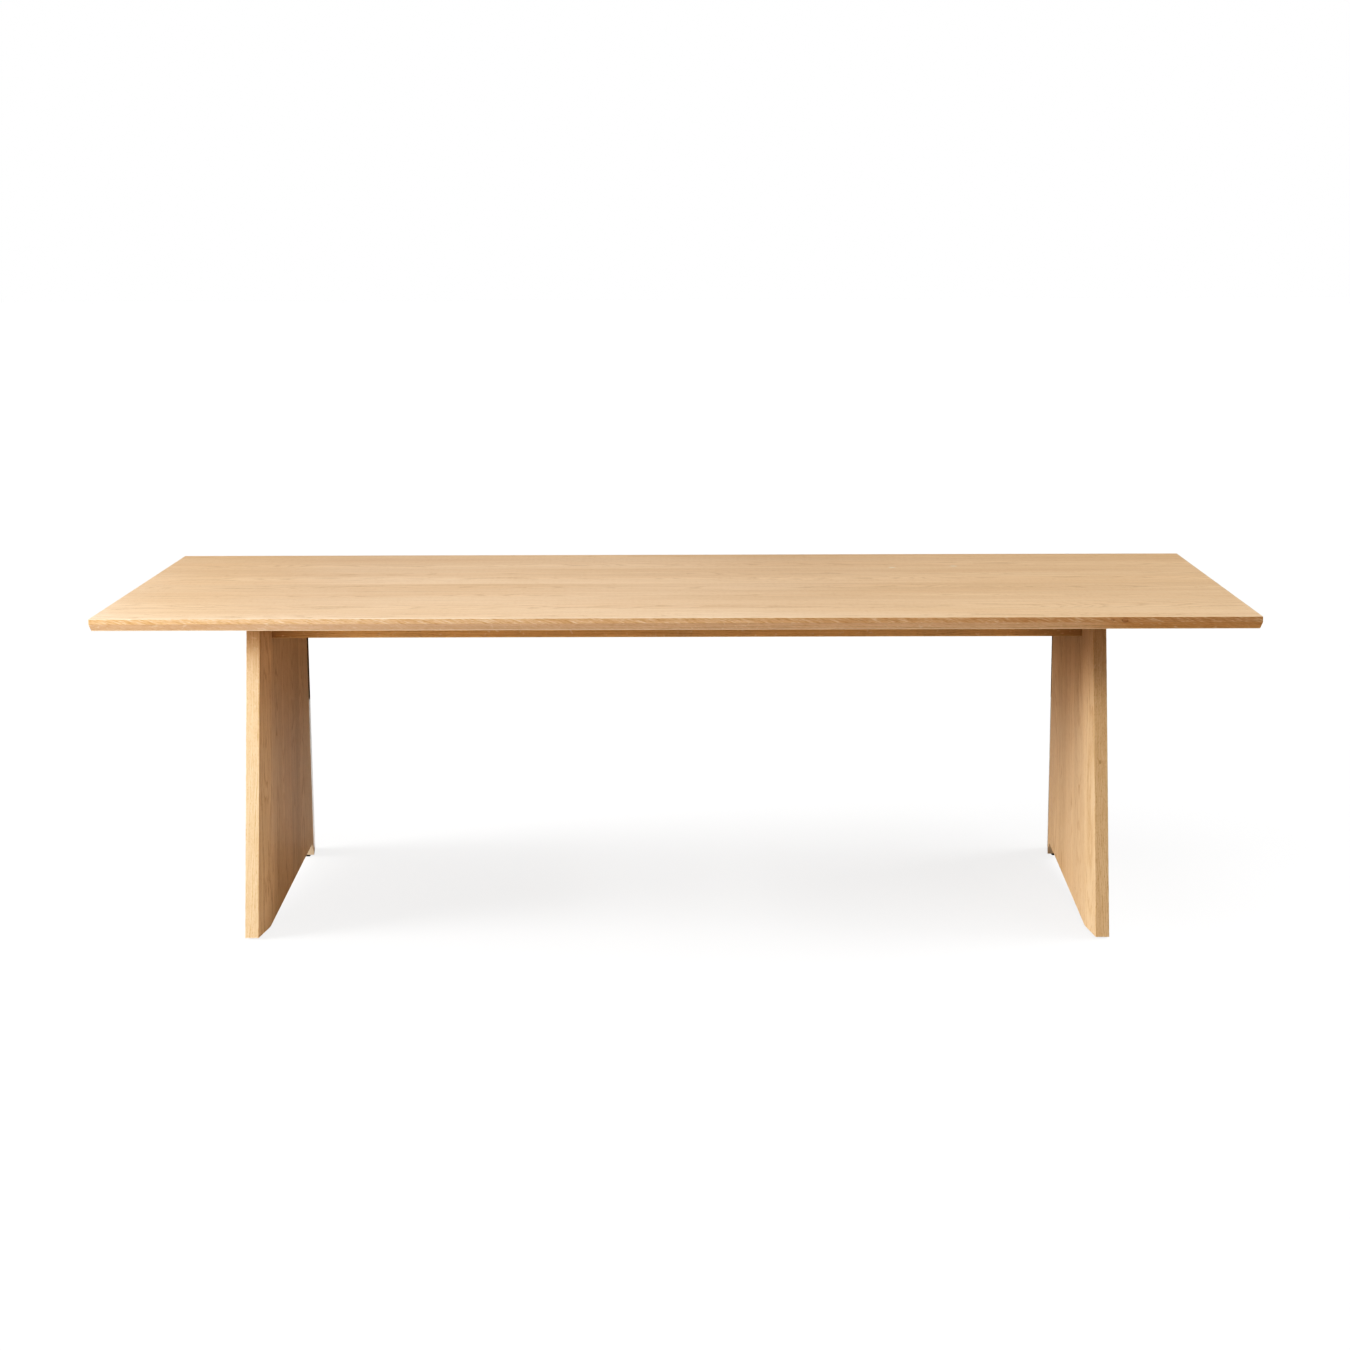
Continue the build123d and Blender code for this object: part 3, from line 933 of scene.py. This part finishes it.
def solids_of(name):
    """The box of each separate solid in a CAD node, in order of place."""
    shape = bmesh.new()
    shape.from_mesh(nodes[name].data)
    bmesh.ops.remove_doubles(shape, verts=shape.verts, dist=weld_distance)
    waiting = set(shape.verts)
    boxes = []
    while waiting:
        corner = waiting.pop()
        solid = {corner}
        front = [corner]
        while front:
            for edge in front.pop().link_edges:
                for vertex in edge.verts:
                    if vertex in waiting:
                        waiting.discard(vertex)
                        solid.add(vertex)
                        front.append(vertex)
        low = Vector(min(vertex.co[axis] for vertex in solid) for axis in range(3))
        high = Vector(max(vertex.co[axis] for vertex in solid) for axis in range(3))
        boxes.append((low, high))
    shape.free()
    return sorted(boxes, key=lambda box: tuple(round(value, 5) for value in box[0]))


def turned(shape, rings, placement, closed=False):
    """Adds one turned solid: rings are functions from an angle to a radius and a height."""
    loops = []
    for ring in rings:
        loop = []
        for step in range(turning_steps):
            angle = 2 * math.pi * step / turning_steps
            radius, height = ring(angle)
            point = Vector((radius * math.cos(angle), radius * math.sin(angle), height))
            loop.append(shape.verts.new(placement @ point))
        loops.append(loop)
    pairs = list(zip(loops, loops[1:]))
    if closed:
        pairs.append((loops[-1], loops[0]))
    for low, high in pairs:
        for step in range(turning_steps):
            after = (step + 1) % turning_steps
            shape.faces.new((low[step], low[after], high[after], high[step]))
    if not closed:
        shape.faces.new(reversed(loops[0]))
        shape.faces.new(loops[-1])


def circle(radius, height):
    return lambda angle: (radius, height)


def thread(core, crest, start, end, pitch):
    """Rings of a thread whose ridge climbs by one pitch in each turn."""
    count = round((end - start) / pitch * thread_rings)
    rings = []
    for index in range(count + 1):
        height = start + (end - start) * index / count

        def ring(angle, height=height):
            turn = (height / pitch - angle / (2 * math.pi)) % 1.0
            ridge = 1 - abs(2 * turn - 1)
            return core + (crest - core) * ridge, height

        rings.append(ring)
    return rings


def star(radius, height):
    """A lobed drive recess."""
    return lambda angle: (radius * (1 + lobe_depth * math.cos(recess_lobes * angle)), height)


def pan_screw(head_radius, head, radius, length):
    """A pan-head screw: the head's bearing face is at height 0 and the point is up."""
    recess = head_radius * recess_share
    foot_width, foot_height = recess_foot
    rings = [star(recess * foot_width, -head * foot_height), star(recess, -head * recess_rim)]
    rings += [circle(head_radius * width, -head * height) for width, height in pan_profile]
    rings.append(circle(radius * screw_neck, 0.0))
    tip_start = length - 2.0 * radius
    rings += thread(radius * screw_core, radius, thread_start, tip_start, radius * screw_pitch)
    rings.append(circle(radius * screw_tip[0], tip_start))
    rings.append(circle(radius * screw_tip[1], length))
    return rings


def hex_bolt(apothem, head, radius, length):
    """A hexagon bolt with a chamfered head, the same way up."""
    flat = apothem * head_flat

    def side(angle):
        return apothem / math.cos(angle % (math.pi / 3) - math.pi / 6)

    def chamfered(angle):
        return side(angle), -head + (side(angle) - flat) * math.tan(math.pi / 6)

    rings = [circle(apothem * width, -head * height) for width, height in head_dimple]
    rings += [circle(flat, -head), chamfered, lambda angle: (side(angle), 0.0)]
    rings += [circle(radius, 0.0), circle(radius, length * shank_end)]
    start, end = bolt_thread
    rings += thread(radius * bolt_core, radius, length * start, length * end, bolt_pitch)
    rings.append(circle(radius * bolt_tip, length))
    return rings


def washer(outer, inner, thickness):
    """A punched washer with eased rims, below height 0."""
    ease = thickness * washer_ease
    return [
        circle(inner, 0.0),
        circle(outer - ease, 0.0),
        circle(outer, -ease),
        circle(outer, -thickness + ease),
        circle(outer - ease, -thickness),
        circle(inner + ease, -thickness),
        circle(inner, -thickness + ease),
    ]


def replace_with_turned(name, rings, material, seat, closed=False):
    """Makes one piece for a CAD node of fasteners, with a turned solid for each of its solids."""
    shape = bmesh.new()
    for low, high in solids_of(name):
        turned(shape, rings, seat(low, high), closed)
    bmesh.ops.recalc_face_normals(shape, faces=shape.faces)
    mesh = bpy.data.meshes.new(f"{name}_detailed")
    shape.to_mesh(mesh)
    shape.free()
    mesh.shade_smooth()
    mesh.set_sharp_from_angle(angle=math.radians(sharp_degrees))
    mesh.materials.append(material)
    piece = bpy.data.objects.new(f"{name}_detailed", mesh)
    bpy.context.scene.collection.objects.link(piece)
    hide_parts(name)
    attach(piece, "root")


def upward(head):
    """Places a screw that points up, its bearing face a head's height above its box's foot."""

    def seat(low, high):
        middle = (low + high) / 2
        return Matrix.Translation((middle.x, middle.y, low.z + head))

    return seat


def outward(reach):
    """Places a piece on its side, its seat a given reach from the inner end of its box."""

    def seat(low, high):
        middle = (low + high) / 2
        side = math.copysign(1, middle.x)
        inner = low.x if side > 0 else -high.x
        turn = Matrix.Rotation(side * math.pi / 2, 4, "Y")
        return Matrix.Translation((side * (inner + reach), middle.y, middle.z)) @ turn

    return seat


def make_fasteners(zinc):
    screws = {
        "channel_screws": (channel_screw_head, channel_screw_radius),
        "top_screws": (top_screw_head, top_screw_radius),
    }
    for name, (head, radius) in screws.items():
        low, high = solids_of(name)[0]
        rings = pan_screw((high.x - low.x) / 2, head, radius, high.z - low.z - head)
        replace_with_turned(name, rings, zinc, upward(head))
    low, high = solids_of("leg_bolts")[0]
    rings = hex_bolt(bolt_apothem, bolt_head, bolt_radius, high.x - low.x - bolt_head)
    replace_with_turned("leg_bolts", rings, zinc, outward(bolt_head))
    low, high = solids_of("leg_bolt_washers")[0]
    thickness = high.x - low.x
    rings = washer((high.y - low.y) / 2, bolt_radius * bolt_hole, thickness)
    replace_with_turned("leg_bolt_washers", rings, zinc, outward(thickness), closed=True)


def make_floor():
    """A white sweep that the camera sees, and a pale floor that lights the table from below."""
    studio_white = bpy.data.materials.new("studio_white")
    studio_white.use_nodes = True
    tree = studio_white.node_tree
    tree.nodes.clear()
    output = tree.nodes.new("ShaderNodeOutputMaterial")
    total = tree.nodes.new("ShaderNodeAddShader")
    glow = tree.nodes.new("ShaderNodeEmission")
    glow.inputs["Strength"].default_value = sweep_glow
    shaded = tree.nodes.new("ShaderNodeBsdfDiffuse")
    shaded.inputs["Color"].default_value = sweep_colour
    tree.links.new(glow.outputs["Emission"], total.inputs[0])
    tree.links.new(shaded.outputs["BSDF"], total.inputs[1])
    tree.links.new(total.outputs["Shader"], output.inputs["Surface"])
    whole = (-sweep_half, sweep_half)
    sweep = make_plane("sweep", whole, whole, cad_low.z, studio_white)
    sweep.visible_diffuse = False
    sweep.visible_glossy = False
    sweep.visible_transmission = False
    sweep.visible_shadow = False

    pale = Paint("pale_floor")
    pale.set(Base_Color=floor_colour, Roughness=floor_roughness, Specular_IOR_Level=0.0)
    level = cad_low.z - floor_drop
    floor = make_plane("floor", floor_reach_x, floor_reach_y, level, pale.material)
    floor.visible_camera = False
    return sweep


def make_plane(name, reach_x, reach_y, level, material):
    mesh = bpy.data.meshes.new(name)
    (x_low, x_high), (y_low, y_high) = reach_x, reach_y
    corners = [(x_low, y_low), (x_high, y_low), (x_high, y_high), (x_low, y_high)]
    mesh.from_pydata([(x, y, level) for x, y in corners], [], [(0, 1, 2, 3)])
    mesh.materials.append(material)
    plane = bpy.data.objects.new(name, mesh)
    bpy.context.scene.collection.objects.link(plane)
    return plane


def light_world():
    """A white background for the camera that lights nothing."""
    world = bpy.data.worlds.new("studio")
    bpy.context.scene.world = world
    world.use_nodes = True
    tree = world.node_tree
    background = tree.nodes["Background"]
    path = tree.nodes.new("ShaderNodeLightPath")
    tree.links.new(path.outputs["Is Camera Ray"], background.inputs["Strength"])
    background.inputs["Color"].default_value = (1.0, 1.0, 1.0, 1.0)


def make_lamp(name, kind, position, target, receivers):
    data = bpy.data.lights.new(name, kind)
    lamp = bpy.data.objects.new(name, data)
    bpy.context.scene.collection.objects.link(lamp)
    lamp.location = position
    lamp.rotation_euler = (position - target).to_track_quat("Z", "Y").to_euler()
    lamp.light_linking.receiver_collection = receivers
    return lamp


def nodes_named(start):
    """The CAD nodes whose names start in one way."""
    return [node for name, node in nodes.items() if name.startswith(start)]


def linked(name, members, state):
    """A collection that tells a lamp which objects it lights or is blocked by."""
    collection = bpy.data.collections.new(name)
    for member in members:
        collection.objects.link(member)
    for link in collection.collection_objects:
        link.light_linking.link_state = state
    return collection


def make_square_lamp(name, place, target, power, receivers):
    lamp = make_lamp(name, "AREA", place, target, receivers)
    lamp.data.shape = "SQUARE"
    lamp.data.size = softbox_size
    lamp.data.energy = power
    return lamp


def make_softbox(azimuth, distance, height, power, receivers):
    turn = math.radians(azimuth)
    x = math.sin(turn) * (distance + table_reach)
    y = -math.cos(turn) * distance
    target = Vector((x * aim_share, 0.0, aim_height))
    box = make_square_lamp("softbox", Vector((x, y, height)), target, power, receivers)
    box.data.color = warm_lamp if azimuth in warm_sides else plain_lamp
    return box


def light_table(sweep):
    """Square softboxes round the table, which leave the sweep alone."""
    receivers = linked("all_but_sweep", [sweep], "EXCLUDE")
    for azimuth, distance, height, power in softboxes:
        make_softbox(azimuth, distance, height, power, receivers)
    legs = nodes_named("left_leg") + nodes_named("right_leg")
    for lit, unseen, power in side_watts:
        if lit:
            receivers_here = linked("lit", nodes_named(lit), "INCLUDE")
        else:
            receivers_here = linked("lit", [sweep] + legs, "EXCLUDE")
        box = make_softbox(*side_box, power, receivers_here)
        if unseen:
            blockers = linked("blockers", nodes_named(unseen), "EXCLUDE")
            box.light_linking.blocker_collection = blockers
    make_softbox(*left_leg_box, linked("lit", nodes_named("left_leg"), "INCLUDE"))
    for x, y, power in overheads:
        place = Vector((x, y, overhead_height))
        make_square_lamp("overhead", place, Vector((x, y, 0.0)), power, receivers)


def light_sweep(sweep):
    """Wide lamps that reach only the sweep, for the faint shadow on it."""
    receivers = linked("sweep_only", [sweep], "INCLUDE")
    for shaders, azimuth, elevation, width, share in sweep_suns:
        blockers = linked("blockers", nodes_named(shaders), "INCLUDE")
        turn = math.radians(azimuth)
        rise = math.radians(elevation)
        level = math.cos(rise)
        towards = Vector((math.sin(turn) * level, -math.cos(turn) * level, math.sin(rise)))
        sun = make_lamp("sweep_sun", "SUN", towards * sun_distance, Vector(), receivers)
        sun.light_linking.blocker_collection = blockers
        sun.data.angle = math.radians(width)
        sun.data.energy = share * math.pi / math.sin(rise) / sweep_colour[0]


def set_tones():
    """The print's contrast: an S-shaped curve between black and white."""
    settings = bpy.context.scene.view_settings
    settings.view_transform = "Standard"
    settings.use_curve_mapping = True
    mapping = settings.curve_mapping
    curve = mapping.curves[3]  # the one for all three colours, from (0, 0) to (1, 1) at first
    for light in tone_points:
        steep = light ** tone_gamma
        curve.points.new(light, (1 + tone_knee) * steep / (steep + tone_knee))
    for point in curve.points:
        point.handle_type = "AUTO"
    mapping.update()


def make_camera():
    camera = bpy.data.cameras.new("camera")
    camera.lens = lens_mm
    camera.sensor_width = sensor_mm
    camera.shift_x, camera.shift_y = lens_shift
    holder = bpy.data.objects.new("camera", camera)
    turn = Matrix.Rotation(camera_turn, 4, "Z")
    tilt = Matrix.Rotation(math.pi / 2 - camera_tilt, 4, "X")
    roll = Matrix.Rotation(camera_roll, 4, "Z")
    holder.matrix_world = Matrix.Translation(camera_place) @ turn @ tilt @ roll
    bpy.context.scene.collection.objects.link(holder)
    bpy.context.scene.camera = holder


paint_boards()
make_fasteners(paint_hidden_parts())
sweep = make_floor()
light_world()
light_table(sweep)
light_sweep(sweep)
set_tones()
make_camera()
